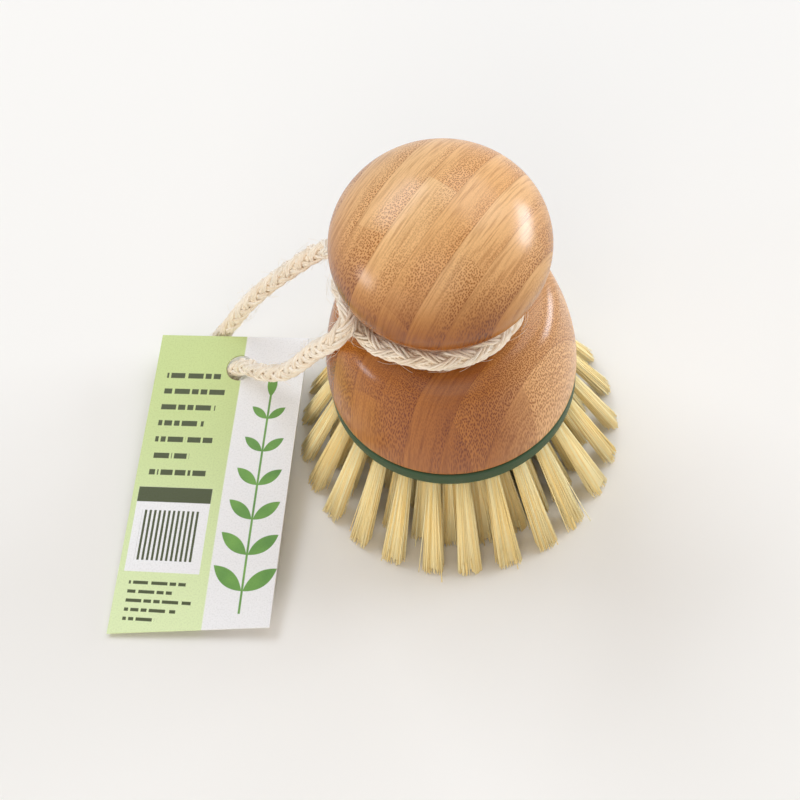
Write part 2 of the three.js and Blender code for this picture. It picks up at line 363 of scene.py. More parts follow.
@dataclass(frozen=True)
class BambooFinish:
    """Lacquered block of glued bamboo strips, dotted by fibre bundles or finely lined, in millimetres."""

    # Strips and boards
    knob: Layer = Layer((0.702, -0.676, -0.224), -31.82, 6.71, 12.6, 0.37)
    dome: Layer = Layer((0.683, -0.727, -0.07), 5.4, 7.65, -3.1, 0.3)
    along: Triple = (0.729, 0.6845, 0.0)
    waist_height: float = 66.0
    board_length: float = 38.0
    board_step: float = 23.4
    # Colours: the rich ones, low on the handle and to its left, are partly a darker wood tone and partly
    # painted shade; one tint is painted shade under the knob
    pale: Colour = rgb(252, 208, 151)
    deep: Colour = rgb(235, 177, 113)
    rich_shaded_pale: Colour = rgb(188, 114, 26)
    rich_shaded_deep: Colour = rgb(143, 71, 3)
    painted_shade_under_knob: Colour = rgb(234, 231, 208)
    line: Colour = rgb(218, 204, 188)
    bundle: Colour = rgb(178, 142, 92)
    # Tones of the boards, where the rich colours of partly painted shade are, and where the painted shade
    # under the knob is
    tone_share: float = 0.75
    tone_least: float = 0.3
    tone_inside: float = -0.35
    rich_shade_heights: Pair = (80.0, 102.0)
    rich_shade_sides: Pair = (3.0, 20.0)
    rich_shade_right: float = 0.45
    rich_shade_dome: float = 0.93
    painted_shade_heights: Pair = (80.0, 93.0)
    # Dotted places
    patch_apart: Triple = (70.0, 70.0, 70.0)
    patch_pace: Pair = (0.06, 0.03)
    dots_inside: float = 0.45
    dots_board: float = 0.5
    dots_range: Pair = (0.6, 1.35)
    dots_weight: Pair = (0.3, 1.25)
    dots_knob: float = -0.2
    foot_heights: Pair = (34.0, 52.0)
    foot_dots: float = 0.7
    # Fibre bundles
    bundle_apart: Triple = (90.0, 90.0, 0.0)
    bundle_length: float = 1.2
    bundle_edge: Pair = (0.15, 0.5)
    bundle_depth: float = 0.02 * MM
    sway_pace: Triple = (0.3, 0.3, 0.06)
    sway_size: Triple = (1.6, 1.6, 0.0)
    # Fine lines and glued seams
    line_count: float = 2.6
    line_pace: Pair = (0.14, 0.07)
    line_range: Pair = (0.42, 0.68)
    line_weight: Pair = (0.9, 0.3)
    seam_width: float = 0.022
    seam_weight: float = 0.7
    roughness: Pair = (0.42, 0.52)

    def material(self) -> bpy.types.Material:
        """Build the material.

        Returns:
            The material.
        """
        graph = Graph("lacquered_bamboo")
        board = self.board(graph)
        dotty = self.dotty(graph, board)
        lined = graph.times(self.lines(graph, board), graph.step(dotty, 0.0, 1.0, *self.line_weight))
        colour = graph.stain(lined, self.base(graph, board), self.line)
        dots = self.dots(graph, board, dotty)
        colour = graph.stain(dots, colour, self.bundle)
        middle = graph.math("PINGPONG", board.strip, 0.5)
        seam = graph.step(middle, 0.0, self.seam_width, self.seam_weight, 0.0)
        colour = graph.stain(seam, colour, self.line)
        graph.bump(graph.times(dots, -1.0), self.bundle_depth)
        rough = graph.step(dots, 0.0, 1.0, *self.roughness)
        return graph.finish(Base_Color=colour, Roughness=rough, Specular_IOR_Level=0.0, Coat_Weight=0.9,
                            Coat_Roughness=0.26)

    def either(self, graph: Graph, on_knob: Socket, knob: float, dome: float) -> Socket:
        """Choose the knob's value or the dome's."""
        return graph.math("MULTIPLY_ADD", on_knob, knob - dome, dome)

    def board(self, graph: Graph) -> Board:
        """Find the board at each place.

        Args:
            graph: The material's graph.

        Returns:
            The board.
        """
        place = graph.place()
        side, _, height = graph.parts(place)
        on_knob = graph.math("GREATER_THAN", height, self.waist_height)
        counts = []
        for layer in (self.knob, self.dome):
            depth = graph.math("SUBTRACT", graph.dot(place, layer.across), layer.first)
            counts.append(graph.math("DIVIDE", depth, layer.thickness))
        above = graph.times(on_knob, graph.math("SUBTRACT", *counts))
        strip = graph.math("ADD", counts[1], above)
        number = graph.math("FLOOR", strip)
        run = graph.dot(place, self.along)
        joint = self.either(graph, on_knob, self.knob.joint, self.dome.joint)
        shift = graph.math("MULTIPLY_ADD", number, self.board_step, joint)
        length = graph.math("DIVIDE", graph.math("ADD", run, shift), self.board_length)
        seed = graph.vector(number, graph.math("FLOOR", length), on_knob)
        chance = graph.node("TexWhiteNoise", {0: seed}, noise_dimensions="3D").outputs
        inside = graph.math("FRACT", strip)
        return Board(place, side, height, on_knob, strip, inside, run, chance["Value"], chance["Color"])

    def base(self, graph: Graph, board: Board) -> Socket:
        """Colour the boards, richer low on the handle and to its left, partly as a darker wood tone and
        partly as painted shade, with painted shade under the knob.

        Args:
            graph: The material's graph.
            board: The board at each place.

        Returns:
            The colour.
        """
        tone = graph.math("MULTIPLY_ADD", board.tone, self.tone_share, self.tone_least)
        light = graph.math("MULTIPLY_ADD", board.inside, self.tone_inside, tone, clamp=True)
        plain = graph.mix(light, self.deep, self.pale)
        # Painted shade, partly a darker wood tone: the rich colours come in low on the handle and to its
        # left, and are fainter to its right.
        rich = graph.mix(light, self.rich_shaded_deep, self.rich_shaded_pale)
        low = graph.step(board.height, *self.rich_shade_heights, 1.0, 0.0)
        left = graph.step(board.side, *self.rich_shade_sides, 1.0, self.rich_shade_right)
        share = self.either(graph, board.on_knob, 1.0, self.rich_shade_dome)
        colour = graph.mix(graph.times(graph.times(low, left), share), plain, rich)
        # Painted shade under the knob: a tint darkens its lower part.
        under = graph.times(board.on_knob, graph.step(board.height, *self.painted_shade_heights, 1.0, 0.0))
        return graph.stain(under, colour, self.painted_shade_under_knob)

    def dotty(self, graph: Graph, board: Board) -> Socket:
        """Tell dotted places from lined ones, by the board, the depth in its strip and soft patches.

        Args:
            graph: The material's graph.
            board: The board at each place.

        Returns:
            Zero where there are mostly lines, up to one where there are mostly dots.
        """
        along, up = self.patch_pace
        drift = graph.vector(graph.times(board.run, along), board.inside, graph.times(board.height, up))
        patches = graph.noise(graph.pushed(drift, board.chance, self.patch_apart), 1.0, 1.0)
        kind = graph.times(graph.parts(board.chance)[1], self.dots_board)
        lean = graph.math("MULTIPLY_ADD", board.inside, self.dots_inside, kind)
        return graph.step(graph.math("ADD", lean, patches), *self.dots_range)

    def dots(self, graph: Graph, board: Board, dotty: Socket) -> Socket:
        """Scatter the dark fibre bundles, fainter on the knob and at the dome's foot.

        Args:
            graph: The material's graph.
            board: The board at each place.
            dotty: How dotted each place is.

        Returns:
            The strength of the bundles from 0 to 1.
        """
        grain = self.either(graph, board.on_knob, 1 / self.knob.spacing, 1 / self.dome.spacing)
        depth = graph.times(graph.times(board.strip, self.knob.thickness), grain)
        length = graph.times(graph.math("DIVIDE", board.run, self.bundle_length), grain)
        slow = graph.node("VectorMath", {0: board.place, 1: self.sway_pace}, operation="MULTIPLY")
        plugs = {"Vector": slow.outputs[0], "Scale": 1.0, "Detail": 1.0}
        sway = graph.node("TexNoise", plugs).outputs["Color"]
        cell = graph.pushed(graph.vector(depth, length, 0.0), sway, self.sway_size)
        cell = graph.pushed(cell, board.chance, self.bundle_apart)
        spots = graph.node("TexVoronoi", {"Vector": cell, "Scale": 1.0, "Randomness": 0.8},
                           feature="F1", voronoi_dimensions="2D")
        bundles = graph.step(spots.outputs["Distance"], *self.bundle_edge, 1.0, 0.0)
        strong = graph.step(dotty, 0.0, 1.0, *self.dots_weight)
        strong = graph.math("MULTIPLY_ADD", board.on_knob, self.dots_knob, strong)
        foot = graph.step(board.height, *self.foot_heights, self.foot_dots, 1.0)
        return graph.times(graph.math("MULTIPLY", bundles, strong, clamp=True), foot)

    def lines(self, graph: Graph, board: Board) -> Socket:
        """Draw the fine lines that run parallel to the strips' faces.

        Args:
            graph: The material's graph.
            board: The board at each place.

        Returns:
            The strength of the lines from 0 to 1.
        """
        along, up = self.line_pace
        depth = graph.times(board.strip, self.line_count * self.knob.thickness)
        cell = graph.vector(depth, graph.times(board.run, along), graph.times(board.height, up))
        return graph.step(graph.noise(cell, 1.0, 3.0), *self.line_range)


@dataclass(frozen=True)
class PlateFinish:
    """Moulded green plastic with a satin skin and faint flow marks."""

    colour: Colour = rgb(44, 70, 44)
    flow: Flecks = Flecks(rgb(60, 86, 56), (0.35, 0.75), 0.35, 0.015 * MM, (0.42, 0.55))
    flow_scale: float = 0.25
    grain_scale: float = 9.0

    def material(self) -> bpy.types.Material:
        """Build the material.

        Returns:
            The material.
        """
        graph = Graph("green_plastic")
        place = graph.place()
        flow = graph.noise(place, self.flow_scale, 3.0)
        grain = graph.noise(place, self.grain_scale)
        return graph.flecked(self.colour, self.flow, flow, grain, Specular_IOR_Level=0.3)


@dataclass(frozen=True)
class SteelFinish:
    """Zinc-plated screw steel with fine marks."""

    colour: Colour = rgb(190, 190, 186)
    marks: Flecks = Flecks(rgb(140, 140, 136), NOISE_RANGE, 0.4, 0.02 * MM, (0.3, 0.45))
    mark_scale: float = 6.0

    def material(self) -> bpy.types.Material:
        """Build the material.

        Returns:
            The material.
        """
        graph = Graph("screw_zinc")
        marks = graph.noise(graph.place(), self.mark_scale, 3.0)
        return graph.flecked(self.colour, self.marks, marks, marks, Metallic=1.0)


@dataclass(frozen=True)
class BristleFinish:
    """Pale yellow plant fibre in mixed tints, with painted shade that makes it warmer and darker near the
    roots.
    """

    pale: Colour = rgb(255, 247, 206)
    deep: Colour = rgb(253, 224, 148)
    painted_root_shade: Colour = rgb(248, 214, 140)
    root_shade_reach: float = 0.4
    root_shade_share: float = 0.4
    marks: Flecks = Flecks(deep, (0.45, 0.8), 0.35, 0.01 * MM, (0.42, 0.58))
    mark_pace: Pair = (60.0, 9.0)

    def material(self) -> bpy.types.Material:
        """Build the material.

        Returns:
            The material.
        """
        graph = Graph("bristle_fibre")
        tint, along = (graph.attribute(name) for name in ("tint", "along"))
        colour = graph.mix(tint, self.pale, self.deep)
        # Painted shade: the fibres turn warmer and darker near their roots, by the plate.
        painted_root_shade = graph.step(along, 0.0, self.root_shade_reach, self.root_shade_share, 0.0)
        colour = graph.mix(painted_root_shade, colour, self.painted_root_shade)
        spot = graph.vector(*map(graph.times, (tint, along), self.mark_pace), 0.0)
        marks = graph.noise(spot, 1.0)
        return graph.flecked(colour, self.marks, marks, marks, Specular_IOR_Level=0.3)


@dataclass(frozen=True)
class CordFinish:
    """Cream plant-fibre yarn: matte, with fibres that run along each yarn."""

    pale: Colour = rgb(255, 246, 232)
    deep: Colour = rgb(243, 225, 200)
    deep_share: float = 0.7
    straw: Flecks = Flecks(rgb(216, 184, 144), (0.5, 0.72), 0.6, 0.08 * MM, (0.85, 1.0))
    fibre_pace: Triple = (140.0, 7.0, 50.0)

    def material(self) -> bpy.types.Material:
        """Build the material.

        Returns:
            The material.
        """
        graph = Graph("cord_fibre")
        along, around, tint = (graph.attribute(name) for name in ("along", "around", "tint"))
        spot = graph.vector(*map(graph.times, (along, around, tint), self.fibre_pace))
        fibres = graph.noise(spot, 1.0, 3.0)
        colour = graph.mix(graph.step(tint, 0.0, 1.0, 0.0, self.deep_share), self.pale, self.deep)
        return graph.flecked(colour, self.straw, fibres, fibres, Specular_IOR_Level=0.15, Sheen_Weight=0.25)


@dataclass(frozen=True)
class CardFinish:
    """Printed card: a green field, a pale field with a plain leafy twig, and plain bars in place of words.

    Places on the card are in millimetres from the hole, to the right and up. A mark is a stamp's centre,
    half its length and width, and its turn in degrees. Rows of dashes are the height of the first row, the
    pitch, half a row's thickness and half of each row's length.
    """

    span: float = 82.0
    left: float = -22.9
    foot: float = -72.8
    field_edge: float = 0.8
    field_blur: float = 0.2
    soft: float = 0.08
    green_top: Colour = rgb(206, 222, 150)
    green_foot: Colour = rgb(230, 245, 190)
    white: Colour = rgb(250, 249, 250)
    leaf_dark: Colour = rgb(74, 128, 58)
    leaf_pale: Colour = rgb(134, 186, 84)
    leaf_scale: float = 0.16
    ink: Colour = rgb(66, 74, 38)
    margin: float = -19.6
    rows: tuple[tuple[float, float, float, tuple[float, ...]], ...] = (
        (-2.7, 4.6, 0.75, (7.6, 8.6, 7.4, 6.2, 7.8, 5.0, 7.6)),
        (-59.6, 2.3, 0.42, (7.4, 5.8, 8.4, 6.6, 4.4)),
    )
    gap_beats: tuple[Triple, ...] = ((0.21, 0.37, 0.12), (0.137, 0.61, 0.08))
    panel: Mark = ((-11.6, -45.6), (9.8, 11.2), 0.0)
    header: Mark = ((-11.6, -36.4), (9.8, 2.0), 0.0)
    stripes: Mark = ((-11.6, -47.2), (7.8, 6.6), 0.0)
    stripe_pace: float = 0.8
    stem: Mark = ((9.6, -36.0), (30.0, 0.28), 90.0)
    top_leaf: Mark = ((9.6, -4.5), (3.6, 1.3), 90.0)
    leaf_pairs: int = 6
    leaf_first: float = -60.5
    leaf_step: float = 9.2
    leaf_taper: float = 0.09
    leaf_half: Pair = (5.0, 1.9)
    leaf_middle: Pair = (0.82, 0.64)
    leaf_turn: float = 52.0
    pulp_scale: float = 2.4
    pulp_printed: Flecks = Flecks(ink, (0.4, 0.75), 0.1, 0.03 * MM, (0.5, 0.64))
    pulp_plain: Flecks = Flecks(rgb(222, 217, 206), (0.4, 0.8), 0.4, 0.03 * MM, (0.7, 0.85))

    def printed(self) -> bpy.types.Material:
        """Build the material of the printed face.

        Returns:
            The material.
        """
        graph = Graph("printed_card")
        sheet = graph.node("TexCoord", {}).outputs["UV"]
        plugs = {"Vector": sheet, "Location": (self.left, self.foot, 0.0), "Scale": (self.span,) * 3}
        spot = graph.node("Mapping", plugs).outputs[0]
        across, up, _ = graph.parts(spot)
        green = graph.mix(graph.step(up, self.foot, 0.0, 1.0, 0.0), self.green_top, self.green_foot)
        edge = graph.step(across, self.field_edge - self.field_blur, self.field_edge + self.field_blur)
        colour = graph.mix(edge, green, self.white)
        leaves = graph.mix(graph.noise(spot, self.leaf_scale, 1.0), self.leaf_dark, self.leaf_pale)
        colour = graph.mix(self.twig(graph, spot), colour, leaves)
        colour = graph.mix(self.stamps(graph, spot, Stamp.BAR, [self.panel]), colour, self.white)
        colour = graph.mix(self.words(graph, spot), colour, self.ink)
        pulp = graph.noise(spot, self.pulp_scale, 3.0)
        return graph.flecked(colour, self.pulp_printed, pulp, pulp)

    def plain(self) -> bpy.types.Material:
        """Build the material of the card's back and cut edges.

        Returns:
            The material.
        """
        graph = Graph("plain_card")
        pulp = graph.noise(graph.place(), self.pulp_scale, 3.0)
        return graph.flecked(self.white, self.pulp_plain, pulp, pulp)

    def stamps(self, graph: Graph, spot: Socket, shape: Stamp, marks: Sequence[Mark]) -> Socket:
        """Print one shape at several places.

        Args:
            graph: The material's graph.
            spot: The place on the card.
            shape: The shape.
            marks: Where and how large each stamp is.

        Returns:
            One where a stamp lies and zero elsewhere, with soft edges.
        """
        total: Plug = 0.0
        for centre, (length, width), turn in marks:
            plugs = {"Vector": spot, "Location": (*centre, 0.0), "Rotation": (0.0, 0.0, math.radians(turn))}
            local = graph.node("Mapping", plugs, vector_type="TEXTURE").outputs[0]
            x, y = (graph.math("ABSOLUTE", part) for part in graph.parts(local)[:2])
            if shape is Stamp.LEAF:
                bulge = graph.math("POWER", graph.math("DIVIDE", x, length), 2.0)
                past = graph.math("SUBTRACT", graph.math("ADD", graph.times(bulge, width), y), width)
            else:
                past = graph.most(graph.math("SUBTRACT", x, length), graph.math("SUBTRACT", y, width))
            total = graph.most(total, graph.step(past, -self.soft, self.soft, 1.0, 0.0))
        return total

    def twig(self, graph: Graph, spot: Socket) -> Socket:
        """Print an upright twig with pairs of round leaves, which get smaller towards the top.

        Args:
            graph: The material's graph.
            spot: The place on the card.

        Returns:
            One where the twig is and zero elsewhere.
        """
        leaves = []
        for pair in range(self.leaf_pairs):
            size = 1.0 - self.leaf_taper * pair
            length, width = (half * size for half in self.leaf_half)
            height = self.leaf_first + self.leaf_step * pair + self.leaf_middle[1] * length
            for side in (-1, 1):
                middle = (self.stem[0][0] + side * self.leaf_middle[0] * length, height)
                leaves.append((middle, (length, width), 90.0 - side * self.leaf_turn))
        leaves.append(self.top_leaf)
        stem = self.stamps(graph, spot, Stamp.BAR, [self.stem])
        return graph.most(self.stamps(graph, spot, Stamp.LEAF, leaves), stem)

    def words(self, graph: Graph, spot: Socket) -> Socket:
        """Print plain bars: rows of dashes, a header on the white panel, and even upright stripes under it.

        Args:
            graph: The material's graph.
            spot: The place on the card.

        Returns:
            One where there is ink and zero elsewhere.
        """
        across, up, _ = graph.parts(spot)
        ink = self.stamps(graph, spot, Stamp.BAR, [self.header])
        for first, pitch, thick, halves in self.rows:
            bars = []
            for number, half in enumerate(halves):
                bars.append(((self.margin + half, first - pitch * number), (half, thick), 0.0))
            row = graph.math("DIVIDE", graph.math("SUBTRACT", up, first - pitch / 2), pitch)
            gaps = self.gaps(graph, across, graph.math("FLOOR", row))
            dashes = graph.math("SUBTRACT", self.stamps(graph, spot, Stamp.BAR, bars), gaps, clamp=True)
            ink = graph.most(ink, dashes)
        beat = graph.math("FRACT", graph.times(across, self.stripe_pace))
        inside = self.stamps(graph, spot, Stamp.BAR, [self.stripes])
        return graph.most(ink, graph.times(graph.math("LESS_THAN", beat, 0.5), inside))

    def gaps(self, graph: Graph, across: Socket, row: Socket) -> Socket:
        """Leave gaps in the rows of dashes.

        Args:
            graph: The material's graph.
            across: The place across the card.
            row: The row's number.

        Returns:
            One where a gap is and zero elsewhere.
        """
        total: Plug = 0.0
        for pace, shift, width in self.gap_beats:
            beat = graph.math("MULTIPLY_ADD", row, shift, graph.times(across, pace))
            total = graph.most(total, graph.math("LESS_THAN", graph.math("FRACT", beat), width))
        return total


def piece(name: str, mesh: bpy.types.Mesh, *materials: bpy.types.Material) -> bpy.types.Object:
    """Put a mesh in the scene as a piece at the origin.

    Args:
        name: The piece's name.
        mesh: Its mesh, in place.
        materials: Its finishes, in the order of its material slots.

    Returns:
        The piece.
    """
    made = bpy.data.objects.new(name, mesh)
    bpy.context.scene.collection.objects.link(made)
    mesh.materials.clear()
    for material in materials:
        mesh.materials.append(material)
    return made


def mesh_of(shape: bmesh.types.BMesh, name: str, sharp: float = 40.0) -> bpy.types.Mesh:
    """Turn a finished bmesh into a smooth mesh.

    Args:
        shape: The bmesh, which is freed.
        name: The mesh's name.
        sharp: The angle in degrees above which an edge stays sharp.

    Returns:
        The mesh.
    """
    mesh = bpy.data.meshes.new(name)
    shape.to_mesh(mesh)
    shape.free()
    mesh.polygons.foreach_set("use_smooth", [True] * len(mesh.polygons))
    mesh.set_sharp_from_angle(angle=math.radians(sharp))
    return mesh


def spun(outline: Sequence[Vector], steps: int) -> bmesh.types.BMesh:
    """Turn an outline of points in the XZ plane about the brush's axis.

    Args:
        outline: The points, from the axis back to the axis.
        steps: The number of steps in the turn.

    Returns:
        The closed shape, with its faces outwards.
    """
    shape = bmesh.new()
    points = [shape.verts.new(point) for point in outline]
    edges = [shape.edges.new(pair) for pair in zip(points, points[1:])]
    bmesh.ops.spin(shape, geom=points + edges, cent=(0, 0, 0), axis=(0, 0, 1), angle=2 * math.pi,
                   steps=steps, use_merge=True)
    bmesh.ops.remove_doubles(shape, verts=shape.verts[:], dist=MERGE)
    bmesh.ops.recalc_face_normals(shape, faces=shape.faces[:])
    return shape


def bezier(points: Sequence[Pair], steps: int) -> list[Vector]:
    """Return points of radius and height along a Bezier curve with four control points."""
    start, pull, push, end = (Vector((radius, 0.0, height)) for radius, height in points)
    return interpolate_bezier(start, pull, push, end, steps)


def arc(centre: Pair, radii: Pair, first: float, last: float, steps: int) -> list[Vector]:
    """Return points of radius and height along part of an ellipse.

    Args:
        centre: The ellipse's centre.
        radii: Its half width and half height.
        first: The angle at which the arc starts, in radians.
        last: The angle at which it ends.
        steps: The number of steps.

    Returns:
        The points.
    """
    points = []
    for number in range(steps + 1):
        angle = first + (last - first) * number / steps
        across, up = radii[0] * math.cos(angle), radii[1] * math.sin(angle)
        points.append(Vector((centre[0] + across, 0.0, centre[1] + up)))
    return points


@dataclass
class Thread:
    """One thin round line of fibre: its points, its radius at each point and its tint."""

    points: list[Vector]
    radii: list[float]
    tint: float


def threads_mesh(name: str, threads: Sequence[Thread], detail: int) -> bpy.types.Mesh:
    """Sweep threads into one mesh of closed tubes that carries tint, along and around values.

    Args:
        name: The mesh's name.
        threads: The threads.
        detail: The roundness of the section: 0 for four sides and two more for each step.

    Returns:
        The mesh, in place.
    """
    curve = bpy.data.curves.new(name, "CURVE")
    curve.dimensions = "3D"
    curve.bevel_depth = 1.0
    curve.bevel_resolution = detail
    curve.use_fill_caps = True
    for thread in threads:
        spline = curve.splines.new("POLY")
        spline.points.add(len(thread.points) - 1)
        spline.points.foreach_set("co", [value for point in thread.points for value in (*point, 1.0)])
        spline.points.foreach_set("radius", thread.radii)
    holder = bpy.data.objects.new(name, curve)
    bpy.context.scene.collection.objects.link(holder)
    ready = holder.evaluated_get(bpy.context.evaluated_depsgraph_get())
    mesh = bpy.data.meshes.new_from_object(ready)
    bpy.data.objects.remove(holder)
    bpy.data.curves.remove(curve)
    # The mesh of a curve lists all caps before the rings, so short threads share these values with others
    sides = 4 + 2 * detail
    marks: dict[str, list[float]] = {"tint": [], "along": [], "around": []}
    for thread in threads:
        last = len(thread.points) - 1
        for number in (last, 0, *range(last + 1)):
            marks["tint"] += [thread.tint] * sides
            marks["along"] += [number / last] * sides
            marks["around"] += [abs(2 * side / sides - 1) for side in range(sides)]
    for mark, values in marks.items():
        mesh.attributes.new(mark, "FLOAT", "POINT").data.foreach_set("value", values)
    shape = bmesh.new()
    shape.from_mesh(mesh)
    bmesh.ops.remove_doubles(shape, verts=shape.verts[:], dist=MERGE / 2)
    bmesh.ops.recalc_face_normals(shape, faces=shape.faces[:])
    shape.to_mesh(mesh)
    shape.free()
    mesh.polygons.foreach_set("use_smooth", [True] * len(mesh.polygons))
    return mesh


class Route:
    """A smooth line through given points, in even steps, with an untwisted frame at each step."""

    def __init__(self, points: Sequence[Vector], step: float, fineness: int = 40) -> None:
        """Lay the line.

        Args:
            points: The points that the line passes through.
            step: About how long each step is.
            fineness: The number of trial points between two picked ones.
        """
        trail = list(self.trail(points, fineness))
        reach = [0.0]
        for first, second in zip(trail, trail[1:]):
            reach.append(reach[-1] + (second - first).length)
        self.length = reach[-1]
        self.count = max(2, round(self.length / step))
        self.points = list(self.even(trail, reach))
        self.frames = list(self.carried())

    @staticmethod
    def trail(points: Sequence[Vector], fineness: int) -> Iterator[Vector]:
        """Step along a centripetal curve through the points.

        Args:
            points: The points.
            fineness: The number of steps between two of them.

        Returns:
            The places along the curve.
        """
        before = 2 * points[0] - points[1]
        after = 2 * points[-1] - points[-2]
        line = [before, *points, after]
        for a, b, c, d in zip(line, line[1:], line[2:], line[3:]):
            gaps = [(q - p).length ** 0.5 for p, q in ((a, b), (b, c), (c, d))]
            leave = ((b - a) / gaps[0] - (c - a) / (gaps[0] + gaps[1]) + (c - b) / gaps[1]) * gaps[1]
            arrive = ((c - b) / gaps[1] - (d - b) / (gaps[1] + gaps[2]) + (d - c) / gaps[2]) * gaps[1]
            for number in range(fineness):
                t = number / fineness
                square = 3 * (c - b) - 2 * leave - arrive
                cube = 2 * (b - c) + leave + arrive
                yield b + leave * t + square * t ** 2 + cube * t ** 3
        yield points[-1].copy()

    def even(self, trail: Sequence[Vector], reach: Sequence[float]) -> Iterator[Vector]:
        """Pick points at even distances along a trail.

        Args:
            trail: The trail's points.
            reach: The distance along the trail at each of them.

        Returns:
            The even points.
        """
        place = 0
        for number in range(self.count + 1):
            wanted = self.length * number / self.count
            while place < len(trail) - 2 and reach[place + 1] < wanted:
                place += 1
            share = (wanted - reach[place]) / max(reach[place + 1] - reach[place], 1e-12)
            yield trail[place].lerp(trail[place + 1], share)

    def carried(self) -> Iterator[tuple[Vector, Vector, Vector]]:
        """Carry a frame along the points.

        Returns:
            The tangent and two directions square to it, at each point.
        """
        side = Vector((0.0, 0.0, 1.0))
        for number in range(len(self.points)):
            ahead = self.points[min(number + 1, self.count)]
            behind = self.points[max(number - 1, 0)]
            tangent = (ahead - behind).normalized()
            side = (side - tangent * side.dot(tangent)).normalized()
            yield tangent, side, tangent.cross(side)

    def outward(self, number: int, angle: float) -> Vector:
        """Return the direction at an angle round the line, at one of its steps."""
        _, side, other = self.frames[number]
        return side * math.cos(angle) + other * math.sin(angle)


@dataclass
class Plait:
    """A round plait of flat strands over two and under two, each of twisted yarns, with loose hairs."""

    circle: float = 1.42 * MM
    wave: float = 0.34 * MM
    pitch: float = 26.0 * MM
    strands_each_way: int = 4
    yarns: int = 4
    yarn_spread: float = 0.72 * MM
    yarn_rise: float = 0.22 * MM
    yarn_radius: float = 0.36 * MM
    yarn_pitch: float = 12.0 * MM
    yarn_uneven: Pair = (0.9, 1.1)
    core_radius: float = 1.55 * MM
    core_tint: float = 0.5
    hair_radius: float = 0.03 * MM
    hair_rise: Pair = (0.2 * MM, 2.2 * MM)
    hair_steps: tuple[int, int] = (3, 8)
    hair_swing: float = 0.8
    hair_tint: float = 0.5

    def strands(self, route: Route, chance: random.Random) -> list[Thread]:
        """Plait the yarns along a route.

        Args:
            route: The route of the plait's middle.
            chance: The source of the yarns' unevenness and tints.

        Returns:
            A thread for the core, and one for each yarn.
        """
        made = [Thread(route.points, [self.core_radius] * len(route.points), self.core_tint)]
        for turn in (1, -1):
            for strand in range(self.strands_each_way):
                for yarn in range(self.yarns):
                    points = [self.spot(route, step, turn, strand, yarn) for step in range(route.count + 1)]
                    radii = [self.yarn_radius * chance.uniform(*self.yarn_uneven) for _ in points]
                    made.append(Thread(points, radii, chance.random()))
        return made

    def spot(self, route: Route, number: int, turn: int, strand: int, yarn: int) -> Vector:
        """Find a yarn's place at one step of a route.

        Args:
            route: The route of the plait's middle.
            number: The step.
            turn: One or minus one, for the way that the strand winds.
            strand: The strand's number among those that wind the same way.
            yarn: The yarn's number in its strand.

        Returns:
            The place of the yarn's middle.
        """
        reach = route.length * number / route.count
        phase = 2 * math.pi * reach / self.pitch
        out = route.outward(number, turn * phase + 2 * math.pi * strand / self.strands_each_way)
        round_about = route.frames[number][0].cross(out)
        lift = turn * self.wave * math.cos(2 * phase - turn * math.pi / 4 + strand * math.pi)
        twist = 2 * math.pi * (turn * reach / self.yarn_pitch + yarn / self.yarns)
        offset = out * math.cos(twist) * self.yarn_rise + round_about * math.sin(twist) * self.yarn_spread
        return route.points[number] + out * (self.circle + lift) + offset

    def hairs(self, route: Route, count: int, chance: random.Random) -> list[Thread]:
        """Grow loose hairs out of the plait.

        Args:
            route: The route of the plait's middle.
            count: The number of hairs.
            chance: The source of their places and bends.

        Returns:
            One thread for each hair.
        """
        made = []
        for _ in range(count):
            span = chance.randint(*self.hair_steps)
            number = chance.randrange(0, route.count - span)
            way = chance.choice((-1, 1))
            angle = chance.uniform(0, 2 * math.pi)
            swing = chance.uniform(-self.hair_swing, self.hair_swing)
            rise = chance.uniform(*self.hair_rise)
            points = []
            for step in range(span + 1):
                t = step / span
                place = number + (step if way > 0 else span - step)
                lift = self.circle + self.yarn_rise + rise * t * (3 - t) / 2
                points.append(route.points[place] + route.outward(place, angle + swing * t) * lift)
            made.append(Thread(points, [self.hair_radius] * len(points), chance.random() * self.hair_tint))
        return made


